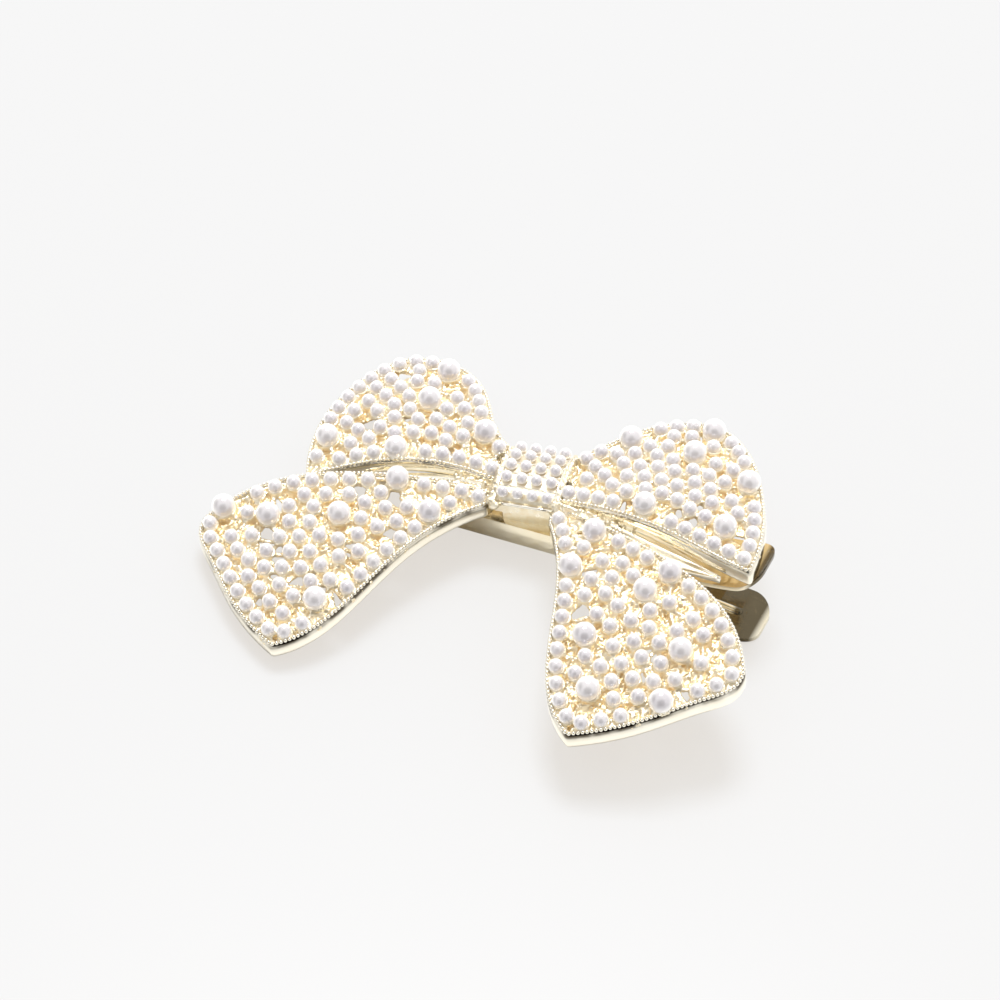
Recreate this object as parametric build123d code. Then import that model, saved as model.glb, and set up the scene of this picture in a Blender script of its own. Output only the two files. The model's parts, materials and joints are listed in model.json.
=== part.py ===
from build123d import *
import math
import os

# Pearl-studded bow on a sprung toothed hair clip. Millimetres and degrees.
#
# Design frame, used up to the last section: x runs along the clip towards the thumb pads,
# y towards the bow's loops, z up. The origin is on the clip's top face under the knot.

# ---------------------------------------------------------------- driving dimensions
SMALL_PEARL = 2.5        # pearl diameters
LARGE_PEARL = 4.0
KNOT_PEARL = 2.0
PEARL_LIFT = 0.7         # height of a pearl's centre above its field, in pearl radii
SEAT_PLAY = 0.02         # gap between a pearl and its cup
TAIL_PITCH = 3.4         # typical distance between neighbouring small pearls
LEFT_LOOP_PITCH = 3.15
RIGHT_LOOP_PITCH = 3.0
ROW_PITCH_SHARE = 0.92   # the row along the wall is a little closer
SMALL_GAP = 0.1          # least gap between two small pearls
PEARL_GAP = 0.35         # least gap between a small pearl and a large one
ROOM_BESIDE_LARGE = 0.3  # small pearls keep this much farther off a large one where they can
KNOT_GAP = 0.35          # least gap between a lobe's pearl and the knot
CROWD_ROUNDS = 40        # how often, and how strongly, pearls too close to each other are moved apart
CROWD_PUSH = 0.3
FILL_SHARE = 0.92        # a late pearl fits into a gap if it is this share of the pitch off the others

WALL = 0.7               # lobe wall, seen from above
WALL_DEPTH = 2.6         # depth of that wall
FIELD_DROP = 0.4         # how far the field lies below the rim
FIELD_SHEET = 1.0        # thickness of the field between the pearls
WINDOW_MIN = 0.75        # radii of the openwork windows
WINDOW_MAX = 1.5
WINDOW_BAR = 0.55        # least metal left between two windows
WINDOW_GRID = 0.8        # spacing of the places tried for a window
UNDER_PEARL = 0.8        # a window may reach under a pearl's edge, as far as this share of its radius

KNOT_TURN = 8.5          # the knot sits slightly askew on the clip
KNOT_CENTRE = (-0.5, 2.5)
KNOT_LENGTH = 10.6       # along the rows of pearls
KNOT_DEPTH = 12.4        # across the band
KNOT_SHOULDER = 4.4      # height where the band's arch starts
KNOT_FOOT = 2.5          # height of the narrower foot that is soldered to the clip
FOOT_LENGTH = 8.6
FOOT_DEPTH = 6.0
KNOT_TOP = 7.1
KNOT_ROWS = 5
KNOT_COLUMNS = 4
KNOT_PITCH = 2.6
KNOT_ROW_PITCH = 2.52    # the rows lie a little closer, seen from above
FOLD_Z = 2.8             # underside of the turned-under ribbon, and its thickness
FOLD_SHEET = 0.9

SHEET = 0.8              # steel sheet of the clip
JAW_TIP_X = -17.0
PAD_END_X = 43.0
PIN_X = 16.0
PIN_Z = -2.7
PIN_R = 0.9
PIN_HEAD_R = 1.5
PIN_HEAD = 0.5
PIN_PLAY = 0.05          # radial running clearance in the lower jaw's ears
UPPER_HALF_WIDTH = 4.5
LOWER_HALF_WIDTH = 3.5   # the lower jaw closes between the upper jaw's sides
PAD_HALF_WIDTH = 5.5
JAW_HEIGHT = 5.4         # closed clip, from its top face to the lower jaw's underside
TOOTH_PITCH = 3.6
TOOTH_R = 1.8
TOOTH_COUNT = 7
EAR_HALF = 2.2
LOWER_EAR_HALF = 1.8
UPPER_CHEEK = (-2.0, -0.2)  # lower and upper edge of the upper jaw's side walls
UPPER_TEETH_Z = -1.5
LOWER_CHEEK = (-4.8, -3.3)
LOWER_TEETH_Z = -3.7

SPRING_WIRE_R = 0.28
SPRING_MEAN_R = 1.35
SPRING_TURNS = 6
SPRING_WIDTH = 4.4
UPPER_LEG_END = (24.0, -1.15)   # (x, z) of the ends of the spring's legs
LOWER_LEG_END = (23.5, -6.2)

# Side view (x, z) of the two levers' top faces beyond the flat jaws, and of the pad's rib.
UPPER_FLAT_END = 22.0
UPPER_LEVER = [(30.0, 0.2), (37.0, 0.9), (41.0, 2.0), (PAD_END_X, 3.2)]
LOWER_FLAT_END = 18.5
LOWER_LEVER = [(24.0, -7.2), (30.0, -9.7), (36.5, -10.6), (39.5, -11.2), (PAD_END_X - 1.5, -12.2)]
RIB_R = 0.7
RIB_ENDS = [(29.5, -9.55), (37.0, -10.75)]
LIP_STEEPER = 1.4        # a lever ends this much steeper than its last stretch

# Lobe outlines, seen from above. The two tails are mirror images; the loops were formed by
# hand and differ. Each run of points is one smooth side between two corners.
TAIL_INNER = [(4.6, -4.4), (9.5, -11.0), (13.6, -19.5), (17.0, -30.0), (21.0, -39.0), (26.7, -44.3)]
TAIL_END = [(26.7, -44.3), (37.0, -38.9), (45.2, -31.8), (49.0, -27.6), (49.3, -24.6)]
TAIL_OUTER = [(49.3, -24.6), (46.3, -19.5), (40.3, -13.9), (30.0, -8.9), (19.0, -5.3), (8.0, -2.4)]
LEFT_LOOP_BACK = [(-4.0, 6.8), (-10.2, 9.0), (-15.6, 16.2), (-25.0, 22.6), (-33.5, 22.0),
                  (-39.6, 12.4), (-40.9, 1.8), (-37.4, -10.6)]
LEFT_LOOP_FRONT = [(-37.4, -10.6), (-33.5, -8.6), (-25.2, -4.3), (-16.0, -1.6), (-4.0, -1.2)]
RIGHT_LOOP_BACK = [(3.2, 8.4), (7.5, 13.6), (14.2, 21.4), (22.8, 24.6), (31.3, 19.8),
                   (37.0, 12.0), (41.2, 2.4), (42.0, -5.4)]
RIGHT_LOOP_FRONT = [(42.0, -5.4), (38.5, -5.3), (30.0, -4.0), (20.0, -2.4), (10.0, -1.7), (3.2, -1.6)]
FOLD = [(3.0, 0.0), (3.0, -3.2), (12.0, -4.6), (28.5, -9.4), (29.5, -6.0), (22.0, -0.8), (12.0, 0.5)]

# Height of each rim at three of its points, and the radius of the dome through them.
TAIL_RIM = [(5.0, -4.0, 4.4), (26.7, -44.3, 0.6), (49.3, -24.6, 4.2)]
LEFT_LOOP_RIM = [(-5.0, 3.0, 5.6), (-37.4, -10.6, 4.8), (-27.0, 22.8, 5.4)]
RIGHT_LOOP_RIM = [(5.0, 3.0, 5.6), (42.0, -5.4, 5.6), (22.8, 24.6, 5.2)]
TAIL_DOME_R = 130.0
LOOP_DOME_R = 85.0

LARGE_ON_TAILS = {
    -1: [(46.5, -22.4), (38.2, -22.0), (26.8, -18.1), (21.2, -7.6), (13.3, -11.8), (23.1, -34.4)],
    1: [(15.0, -6.6), (14.4, -14.7), (28.4, -16.2), (30.6, -11.4), (22.6, -27.1), (38.4, -25.0),
        (27.2, -36.1), (39.1, -34.5)],
}
LARGE_ON_LEFT_LOOP = [(-24.9, 19.4), (-24.3, 11.1), (-37.2, -2.0), (-24.3, -1.6), (-12.2, 7.6)]
LARGE_ON_RIGHT_LOOP = [(11.8, 15.3), (23.9, 21.9), (23.5, 14.9), (34.4, 11.8), (20.9, 0.5), (34.9, 0.9)]

FAR = 60.0               # longer than any lobe is high or wide
BASE_UP = (Align.CENTER, Align.CENTER, Align.MIN)


# ---------------------------------------------------------------- flat outlines
def mirrored(points, sign):
    """The same points on the left (-1) or right (1) side."""
    return [(sign * x, y) for x, y in points]


def outline(*sides):
    """A flat closed face from smooth sides that meet at corners, closed by a straight root."""
    edges = [Spline(*side) for side in sides]
    root = Line(sides[-1][-1], sides[0][0])
    return make_face(Curve() + edges + root).face()


def upright(face):
    """The prism over a plan outline."""
    return Pos(0, 0, -FAR) * extrude(face, 2 * FAR, dir=(0, 0, 1))


def sampled(face, step=0.7):
    """Points along a face's outer edge, as a polygon."""
    return along_wire(face.outer_wire(), step)


def along_wire(wire, step):
    """Evenly spaced points (x, y) along a closed wire."""
    count = int(wire.length / step)
    spots = [wire.position_at(i / count) for i in range(count)]
    return [(p.X, p.Y) for p in spots]


def inset_face(face, inset):
    """The outline shrunk by an even inset, redrawn edge by edge as plain splines."""
    shrunk = offset(face, -inset, kind=Kind.ARC).face()
    quarters = [i / 4 for i in range(5)]
    edges = [Spline(*(edge @ t for t in quarters)) for edge in shrunk.edges()]
    return make_face(Curve() + edges).face()


def gap_inside(polygon, x, y):
    """Distance from a point to the polygon's edge, negative outside it."""
    inside = False
    nearest = FAR
    for (ax, ay), (bx, by) in zip(polygon, polygon[1:] + polygon[:1]):
        if (ay > y) != (by > y) and x < ax + (y - ay) * (bx - ax) / (by - ay):
            inside = not inside
        along = ((x - ax) * (bx - ax) + (y - ay) * (by - ay)) / ((bx - ax) ** 2 + (by - ay) ** 2)
        along = min(1.0, max(0.0, along))
        nearest = min(nearest, math.hypot(x - ax - along * (bx - ax), y - ay - along * (by - ay)))
    return nearest if inside else -nearest


# ---------------------------------------------------------------- domes
def dome_centre(rim, radius):
    """Centre of the sphere of this radius that bulges up through three rim points."""
    a, b, c = (Vector(*p) for p in rim)
    ab, ac = b - a, c - a
    normal = ab.cross(ac)
    to_axis = (normal.cross(ab) * ac.dot(ac) + ac.cross(normal) * ab.dot(ab)) * (0.5 / normal.dot(normal))
    up = normal.normalized() * (1 if normal.Z > 0 else -1)
    return a + to_axis - up * math.sqrt(radius ** 2 - to_axis.dot(to_axis))


def ball(centre, radius):
    """A large sphere whose poles and seam lie away from the lobes."""
    return Pos(*centre) * Rot(0, 90, 0) * Sphere(radius)


def on_dome(centre, radius, x, y):
    """The point of the dome straight above (x, y)."""
    rise = math.sqrt(radius ** 2 - (x - centre.X) ** 2 - (y - centre.Y) ** 2)
    return Vector(x, y, centre.Z + rise)


# ---------------------------------------------------------------- pearl layout
def crowd_out(spots, fixed, polygon, inset, pitch):
    """Even out loose spots: neighbours push each other apart, the wall and fixed spots stay."""
    for _ in range(CROWD_ROUNDS):
        moved = []
        for i, (x, y) in enumerate(spots):
            push_x, push_y = 0.0, 0.0
            others = [(s, pitch) for j, s in enumerate(spots) if j != i] + fixed
            for (ox, oy), reach in others:
                far = math.hypot(x - ox, y - oy)
                if 0 < far < reach:
                    push_x += (x - ox) / far * (reach - far) * CROWD_PUSH
                    push_y += (y - oy) / far * (reach - far) * CROWD_PUSH
            new = (x + push_x, y + push_y)
            moved.append(new if gap_inside(polygon, *new) >= inset else (x, y))
        spots = moved
    return spots


def rim_row(plan, inset, pitch):
    """Spots in one row that follows the wall."""
    return along_wire(offset(plan, -inset, kind=Kind.ARC).face().outer_wire(), pitch)


def scattered(index, base):
    """Van der Corput number: the index's digits, read backwards behind the point."""
    value, share = 0.0, 1.0
    while index:
        share /= base
        value += share * (index % base)
        index //= base
    return value


def scatter(plan, pitch):
    """Evenly strewn spots over the plan's box, as dense as pearls at this pitch can lie."""
    box = plan.bounding_box()
    wide, deep = box.max.X - box.min.X, box.max.Y - box.min.Y
    count = int(wide * deep / (pitch ** 2 * math.sin(math.radians(60))))
    places = [(scattered(i + 1, 2), scattered(i + 1, 3)) for i in range(count)]
    return [(box.min.X + wide * x, box.min.Y + deep * y) for x, y in places]


def place_pearls(plan, large, pitch):
    """Centres, seen from above, of the small pearls of one lobe."""
    polygon = sampled(plan)
    wall_inset = WALL + SMALL_PEARL / 2
    near_large = (SMALL_PEARL + LARGE_PEARL) / 2 + PEARL_GAP

    def free(spot, others):
        clear = all(math.dist(spot, other) >= SMALL_PEARL + SMALL_GAP for other in others)
        return clear and all(math.dist(spot, other) >= near_large for other in large) and not in_knot(*spot)

    row = []
    for spot in rim_row(plan, wall_inset, pitch * ROW_PITCH_SHARE):
        if free(spot, row):
            row.append(spot)
    loose = [s for s in scatter(plan, pitch) if gap_inside(polygon, *s) > wall_inset and free(s, row)]
    fixed = [(spot, pitch) for spot in row] + [(spot, near_large + ROOM_BESIDE_LARGE) for spot in large]
    kept = []
    for spot in crowd_out(loose, fixed, polygon, wall_inset, pitch):
        if free(spot, row + kept):
            kept.append(spot)
    for spot in scatter(plan, pitch / 4):
        roomy = all(math.dist(spot, other) >= pitch * FILL_SHARE for other in row + kept)
        if roomy and gap_inside(polygon, *spot) > wall_inset and free(spot, row + kept):
            kept.append(spot)
    return row + kept


def place_windows(plan, pearls):
    """Centres and radii of the openwork windows, in the widest gaps between the pearls."""
    polygon = sampled(plan)
    box = plan.bounding_box()
    step = WINDOW_GRID
    found = []
    for i in range(int((box.max.X - box.min.X) / step)):
        for j in range(int((box.max.Y - box.min.Y) / step)):
            x, y = box.min.X + i * step, box.min.Y + j * step
            room = gap_inside(polygon, x, y) - WALL - WINDOW_BAR / 2
            for (px, py), radius in pearls:
                if room < WINDOW_MIN:
                    break
                room = min(room, math.hypot(x - px, y - py) - radius * UNDER_PEARL)
            if room >= WINDOW_MIN:
                found.append((min(room, WINDOW_MAX), x, y))
    found.sort(key=lambda item: (-round(item[0], 2), item[1], item[2]))
    windows = []
    for radius, x, y in found:
        if all(math.hypot(x - wx, y - wy) > radius + wr + WINDOW_BAR for wx, wy, wr in windows):
            windows.append((x, y, radius))
    return windows


# ---------------------------------------------------------------- bow
def lobe(plan, centre, dome_r, large, pitch, knot_block):
    """One lobe: a domed openwork field in a deep wall, with its small and large pearls."""
    inner = inset_face(plan, WALL)
    wall_ring = upright(plan) - upright(inner)
    wall = wall_ring & (ball(centre, dome_r) - ball(centre, dome_r - WALL_DEPTH))
    field_r = dome_r - FIELD_DROP
    field = upright(inner) & (ball(centre, field_r) - ball(centre, field_r - FIELD_SHEET))
    small = place_pearls(plan, large, pitch)
    spots = [(s, SMALL_PEARL / 2) for s in small] + [(s, LARGE_PEARL / 2) for s in large]
    windows = [Pos(x, y, 0) * Cylinder(radius, FAR) for x, y, radius in place_windows(plan, spots)]
    seats = []
    pearls = {SMALL_PEARL / 2: [], LARGE_PEARL / 2: []}
    for (x, y), radius in spots:
        foot = on_dome(centre, field_r, x, y)
        middle = foot + (foot - centre).normalized() * radius * PEARL_LIFT
        pearls[radius].append(Pos(*middle) * Sphere(radius))
        seats.append(Pos(*middle) * Sphere(radius + SEAT_PLAY))
    frame = (wall + field) - windows - seats - knot_block
    return frame, pearls[SMALL_PEARL / 2], pearls[LARGE_PEARL / 2]


def knot_place():
    """The knot's own frame: x along its pearl rows."""
    return Pos(*KNOT_CENTRE, 0) * Rot(0, 0, KNOT_TURN)


def in_knot(x, y):
    """True where a pearl would come too near the knot."""
    turn = math.radians(KNOT_TURN)
    dx, dy = x - KNOT_CENTRE[0], y - KNOT_CENTRE[1]
    along = dx * math.cos(turn) + dy * math.sin(turn)
    across = dy * math.cos(turn) - dx * math.sin(turn)
    reach = KNOT_GAP + SMALL_PEARL / 2
    return abs(along) < KNOT_LENGTH / 2 + reach and abs(across) < KNOT_DEPTH / 2 + reach


def knot_profile():
    """Half-round band profile across the knot."""
    half = KNOT_DEPTH / 2
    arch = EllipticalCenterArc((0, KNOT_SHOULDER), half, KNOT_TOP - KNOT_SHOULDER, arc_size=180)
    low = KNOT_FOOT
    legs = Polyline((-half, KNOT_SHOULDER), (-half, low), (half, low), (half, KNOT_SHOULDER))
    return make_face(arch + legs)


def knot():
    """The knot band with cups for its pearls, and the pearls."""
    place = knot_place()
    band = extrude(Plane.YZ * knot_profile(), KNOT_LENGTH / 2, both=True)
    radius = KNOT_PEARL / 2
    half, rise = KNOT_DEPTH / 2, KNOT_TOP - KNOT_SHOULDER
    pearls = []
    seats = []
    for row in range(KNOT_ROWS):
        across = (row - (KNOT_ROWS - 1) / 2) * KNOT_ROW_PITCH
        height = KNOT_SHOULDER + rise * math.sqrt(1 - (across / half) ** 2)
        outward = Vector(0, across / half ** 2, (height - KNOT_SHOULDER) / rise ** 2).normalized()
        for column in range(KNOT_COLUMNS):
            along = (column - (KNOT_COLUMNS - 1) / 2) * KNOT_PITCH
            middle = Vector(along, across, height) + outward * radius * PEARL_LIFT
            pearls.append(place * Pos(*middle) * Sphere(radius))
            seats.append(Pos(*middle) * Sphere(radius + SEAT_PLAY))
    foot = Pos(0, -KNOT_CENTRE[1], KNOT_FOOT / 2) * Box(FOOT_LENGTH, FOOT_DEPTH, KNOT_FOOT)
    return place * (band - seats + foot), pearls, place * (band + foot)


def fold(sign, tail_prism, knot_block):
    """Smooth turned-under ribbon between a loop and the tail below it."""
    strip = make_face(Polyline(*mirrored(FOLD, sign), close=True))
    band = Pos(0, 0, FOLD_Z) * extrude(strip, FOLD_SHEET, dir=(0, 0, 1))
    return band - tail_prism - knot_block


# ---------------------------------------------------------------- clip
def clip_plan(jaw_half, tip_r, from_x, pad_x):
    """Plan of one clip half: rounded tip, straight jaw, wider rounded thumb pad."""
    widen = from_x + 6.0
    corners = [(JAW_TIP_X, -jaw_half), (from_x, -jaw_half)]
    corners += [(widen, -PAD_HALF_WIDTH), (pad_x, -PAD_HALF_WIDTH)]
    corners += [(x, -y) for x, y in reversed(corners)]
    face = make_face(Polyline(*corners, close=True))
    face = fillet(face.vertices().group_by(Axis.X)[0], tip_r)
    return upright(fillet(face.vertices().sort_by(Axis.X)[-2:], PAD_HALF_WIDTH * 0.7))


def lever_slope(lever):
    """Slope of the lever's last stretch."""
    (ax, az), (bx, bz) = lever[-2:]
    return (bz - az) / (bx - ax) * LIP_STEEPER


def bent_sheet(flat_end, height, lever):
    """Sheet of constant thickness along the side view, before it is cut to its plan."""
    slope = lever_slope(lever)
    tangents = ((1, 0), (1, slope))
    upper = Spline((flat_end, height), *lever, tangents=tangents)
    lower = Spline((flat_end, height - SHEET), *[(x, z - SHEET) for x, z in lever], tangents=tangents)
    jaw_top = Line((JAW_TIP_X, height), (flat_end, height))
    jaw_bottom = Line((JAW_TIP_X, height - SHEET), (flat_end, height - SHEET))
    front = Line((JAW_TIP_X, height), (JAW_TIP_X, height - SHEET))
    back = Line(lever[-1], (lever[-1][0], lever[-1][1] - SHEET))
    side_view = make_face(Curve() + [upper, lower, jaw_top, jaw_bottom, front, back])
    return extrude(Plane.XZ * side_view, FAR, both=True)


def cheek(low, high, teeth_z, ear_r, hole_r):
    """Side wall of one jaw, in the XZ plane: a strip with round teeth, and an ear for the pin."""
    first = JAW_TIP_X + 3.2
    last = first + (TOOTH_COUNT - 1) * TOOTH_PITCH
    strip = Pos((first + last) / 2, (low + high) / 2) * Rectangle(last - first, high - low)
    teeth = [Pos(first + i * TOOTH_PITCH, teeth_z) * Circle(TOOTH_R) for i in range(TOOTH_COUNT)]
    middle = (high + low) / 2
    web = Pos((last + PIN_X) / 2, middle) * Rectangle(PIN_X - last, high - low)
    ear_root = Pos(PIN_X, (middle + PIN_Z) / 2) * Rectangle(2 * ear_r, abs(middle - PIN_Z))
    ear = Pos(PIN_X, PIN_Z) * Circle(ear_r)
    return strip + teeth + web + ear_root + ear - Pos(PIN_X, PIN_Z) * Circle(hole_r)


def both_cheeks(face, outer_half):
    """The same side wall on both sides, each one sheet thick."""
    plate = extrude(Plane.XZ * face, SHEET)
    low_side = Pos(0, -outer_half + SHEET, 0) * plate
    return low_side, mirror(low_side, Plane.XZ)


def upper_jaw():
    """Upper jaw and lever: top sheet, toothed sides turned down, ears for the pin."""
    plan = clip_plan(UPPER_HALF_WIDTH, 3.5, UPPER_FLAT_END, PAD_END_X)
    sheet = bent_sheet(UPPER_FLAT_END, 0.0, UPPER_LEVER) & plan
    left, right = both_cheeks(cheek(*UPPER_CHEEK, UPPER_TEETH_Z, EAR_HALF, PIN_R), UPPER_HALF_WIDTH)
    above = Pos(0, 0, FAR / 2) * Box(4 * FAR, FAR, FAR)
    return sheet + (left - above) + (right - above)


def lower_jaw():
    """Lower jaw and lever: it closes between the upper jaw's sides; a rib stiffens its pad."""
    top = SHEET - JAW_HEIGHT
    plan = clip_plan(LOWER_HALF_WIDTH, 3.0, LOWER_FLAT_END, LOWER_LEVER[-1][0])
    sheet = bent_sheet(LOWER_FLAT_END, top, LOWER_LEVER) & plan
    side = cheek(*LOWER_CHEEK, LOWER_TEETH_Z, LOWER_EAR_HALF, PIN_R + PIN_PLAY)
    left, right = both_cheeks(side, LOWER_HALF_WIDTH)
    below = Pos(0, 0, -JAW_HEIGHT - FAR / 2) * Box(4 * FAR, FAR, FAR)
    rib_from, rib_to = (Vector(x, 0, z) for x, z in RIB_ENDS)
    along = rib_to - rib_from
    rib = Plane(origin=rib_from, z_dir=along) * Cylinder(RIB_R, along.length, align=BASE_UP)
    rib = rib + Pos(*rib_from) * Sphere(RIB_R) + Pos(*rib_to) * Sphere(RIB_R)
    under = Pos(0, 0, -SHEET * 0.6) * bent_sheet(LOWER_FLAT_END, top, LOWER_LEVER)
    return sheet + (left - below) + (right - below) + (rib - under)


def hinge_pin():
    """Riveted pin held in the upper jaw's ears."""
    body = Cylinder(PIN_R, 2 * UPPER_HALF_WIDTH)
    head_z = UPPER_HALF_WIDTH + PIN_HEAD / 2
    heads = [Pos(0, 0, side * head_z) * Cylinder(PIN_HEAD_R, PIN_HEAD) for side in (-1, 1)]
    return Pos(PIN_X, 0, PIN_Z) * Rot(90, 0, 0) * (body + heads)


def spring_leg(start, end):
    """Straight round-ended wire between two points."""
    run = end - start
    wire = Plane(origin=start, z_dir=run) * Cylinder(SPRING_WIRE_R, run.length, align=BASE_UP)
    return wire + Pos(*start) * Sphere(SPRING_WIRE_R) + Pos(*end) * Sphere(SPRING_WIRE_R)


def torsion_spring():
    """Coil round the pin, with one leg under the upper lever and one on the lower lever."""
    path = Helix(SPRING_WIDTH / SPRING_TURNS, SPRING_WIDTH, SPRING_MEAN_R)
    section = Plane(origin=path @ 0, z_dir=path % 0) * Circle(SPRING_WIRE_R)
    coil = sweep(section, path=path, is_frenet=True)
    coil = Pos(PIN_X, SPRING_WIDTH / 2, PIN_Z) * Rot(90, 0, 0) * coil
    legs = []
    for (end_x, end_z), y in ((UPPER_LEG_END, SPRING_WIDTH / 2), (LOWER_LEG_END, -SPRING_WIDTH / 2)):
        legs.append(spring_leg(Vector(PIN_X + SPRING_MEAN_R, y, PIN_Z), Vector(end_x, y, end_z)))
    return coil + legs[0] + legs[1]


# ---------------------------------------------------------------- assembly
def design():
    """Every node in the design frame."""
    knot_frame, knot_pearls, knot_block = knot()
    nodes = {"knot_band": knot_frame, "knot_pearls": Compound(children=knot_pearls)}
    tails = {}
    for side, sign in (("left", -1), ("right", 1)):
        tails[side] = outline(*(mirrored(run, sign) for run in (TAIL_INNER, TAIL_END, TAIL_OUTER)))
        rim = [(sign * x, y, z) for x, y, z in TAIL_RIM]
        large = mirrored(LARGE_ON_TAILS[sign], sign)
        tail = lobe(tails[side], dome_centre(rim, TAIL_DOME_R), TAIL_DOME_R, large, TAIL_PITCH, knot_block)
        add_lobe(nodes, side + "_tail", *tail)
    loops = {
        "left": (-1, (LEFT_LOOP_BACK, LEFT_LOOP_FRONT), LEFT_LOOP_RIM, LARGE_ON_LEFT_LOOP, LEFT_LOOP_PITCH),
        "right": (1, (RIGHT_LOOP_BACK, RIGHT_LOOP_FRONT), RIGHT_LOOP_RIM, LARGE_ON_RIGHT_LOOP, RIGHT_LOOP_PITCH),
    }
    for side, (sign, runs, rim, large, pitch) in loops.items():
        centre = dome_centre(rim, LOOP_DOME_R)
        frame, *pearls = lobe(outline(*runs), centre, LOOP_DOME_R, large, pitch, knot_block)
        add_lobe(nodes, side + "_loop", frame + fold(sign, upright(tails[side]), knot_block), *pearls)
    nodes["upper_jaw"] = upper_jaw()
    nodes["lower_jaw"] = lower_jaw()
    nodes["hinge_pin"] = hinge_pin()
    nodes["torsion_spring"] = torsion_spring()
    return nodes


def add_lobe(nodes, name, frame, small_pearls, large_pearls):
    """Store one lobe's casting and its two groups of pearls."""
    nodes[name] = frame
    nodes[name + "_small_pearls"] = Compound(children=small_pearls)
    nodes[name + "_large_pearls"] = Compound(children=large_pearls)


def resting_place(nodes):
    """The clip lies on its jaw tip and its lower lever's lip; this levels them at z = 0."""
    lip_x, lip_z = LOWER_LEVER[-1]
    tilt = math.degrees(math.atan2(-JAW_HEIGHT - (lip_z - SHEET), lip_x - JAW_TIP_X))
    turned = Rot(0, -tilt, 0)
    box = Compound(children=[turned * node for node in nodes.values()]).bounding_box()
    middle = (box.min + box.max) / 2
    return Pos(-middle.X, -middle.Y, -box.min.Z) * turned


def main():
    os.makedirs("parts", exist_ok=True)
    nodes = design()
    place = resting_place(nodes)
    for name, shape in nodes.items():
        placed = place * shape
        print(name, len(placed.solids()), "solids", round(placed.volume, 1), "mm3", "valid" * placed.is_valid)
        export_step(placed, f"parts/{name}.step")
    pin = place * Pos(PIN_X, 0, PIN_Z)
    print("placed at", place.position, place.orientation, "hinge at", pin.position)


main()
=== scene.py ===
import json
import math
import random

import bmesh
import bpy
import numpy as np
from mathutils import Matrix, Vector, noise
from mathutils.geometry import delaunay_2d_cdt


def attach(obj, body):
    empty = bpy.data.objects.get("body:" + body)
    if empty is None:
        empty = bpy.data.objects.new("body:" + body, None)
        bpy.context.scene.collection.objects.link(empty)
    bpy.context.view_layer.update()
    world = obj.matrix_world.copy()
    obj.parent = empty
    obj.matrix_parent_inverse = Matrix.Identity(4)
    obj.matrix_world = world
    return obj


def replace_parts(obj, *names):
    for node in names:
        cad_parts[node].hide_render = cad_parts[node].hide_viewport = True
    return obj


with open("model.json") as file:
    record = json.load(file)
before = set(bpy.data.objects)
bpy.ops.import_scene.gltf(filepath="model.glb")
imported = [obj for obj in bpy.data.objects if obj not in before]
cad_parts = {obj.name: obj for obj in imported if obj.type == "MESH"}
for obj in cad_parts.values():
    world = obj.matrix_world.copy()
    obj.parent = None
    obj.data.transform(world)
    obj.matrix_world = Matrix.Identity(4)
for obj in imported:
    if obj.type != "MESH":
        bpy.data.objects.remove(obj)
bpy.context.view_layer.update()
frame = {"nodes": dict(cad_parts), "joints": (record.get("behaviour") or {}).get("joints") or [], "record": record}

# Pearl bow hair clip: castings with beaded rims and a nuggety openwork field, folded ribbons,
# materials, a pale floor and studio light. Shapes are worked out in the bow's own frame, in
# millimetres: x along the clip towards the thumb pads, y towards the loops, z up.

random.seed(386)

# ---------------------------------------------------------------- driving values (mm)
MM = 0.001
PIN_IN_BOW = Vector((16.0, 0.0, -2.7))
LOBES = ("left_tail", "right_tail", "left_loop", "right_loop")
WALL = 0.7
WALL_DEPTH = {"left_tail": 2.7, "right_tail": 2.9, "left_loop": 2.7, "right_loop": 3.1}
# how strongly each lobe's rim shows the painted dark reflection on its shoulder
RIM_REFLECTION_STRENGTH = {"left_tail": 1.0, "right_tail": 1.0, "left_loop": 0.35, "right_loop": 0.5}
BEAD_R = 0.36
BEAD_SPREAD = (0.9, 1.06)
BEAD_PITCH = 0.74
BEAD_INSET = 0.34
BEAD_LIFT = 0.12

# how a rim is found in the CAD shape
RIM_STEP = 0.3            # distance between samples along a rim
RIM_RAYS = 1200           # directions in which the rim is looked for
UPRIGHT = 0.06            # a face whose normal rises less than this belongs to a wall
DOMED = (0.7, 0.9995)     # the dome is never quite level at its rim, and the folded ribbon is

# openwork field: bars between the pearls, cups under them, thin skins in some gaps
FIELD_DROP = 0.4          # field below the rim
BAR_R = 0.44
BAR_REACH = 6.4           # longest bar
LONG_BAR = 3.9            # some bars longer than this are left out
LONG_BARS_MISSING = 0.35
BAR_STEP = 0.6            # distance between a bar's stations
BAR_BOW = 0.45            # how far a bar wanders sideways
BAR_WAVE = 1.7
BAR_GRAINS = 0.55         # share of a bar's stations with a grain on them
GRAIN_SHIFT = (-0.45, 0.45)
GRAIN_R = (0.16, 0.38)
GRAINS_PER_SKIN = 5
WALL_ROW_PITCH = 2.4      # bars meet the wall this often
BORDER_R = 0.42           # half thickness of the bar along the wall
BORDER_INSET = WALL + 0.1
BORDER_DROP = FIELD_DROP + 0.3
CUP_SHARE = 0.80          # a cup's radius is this share of its pearl's, and a little more
CUP_MARGIN = 0.14
CUP_WALL = (0.30, 0.37)
CUP_LIFT = 0.12
CUP_SINK = 0.42
CUP_FLATNESS = 0.34
FILLED_SHARE = 0.72       # share of the gaps that are closed by a thin skin
SKIN_DROP = (0.35, 0.65)  # skins below the field
SKIN_SHEET = 0.4
SKIN_PATCH = 5.0          # typical width of a stretch with many, or few, skins
OVER_PAD = Vector((35.0, -15.4))    # the field is closed here, above the dark thumb pad
OVER_PAD_REACH = 3.5
CRUMPLE = ((1.5, 0.12), (3.4, 0.08))    # (waves per millimetre, height) of the cast surface
VOXEL = 0.175
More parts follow.
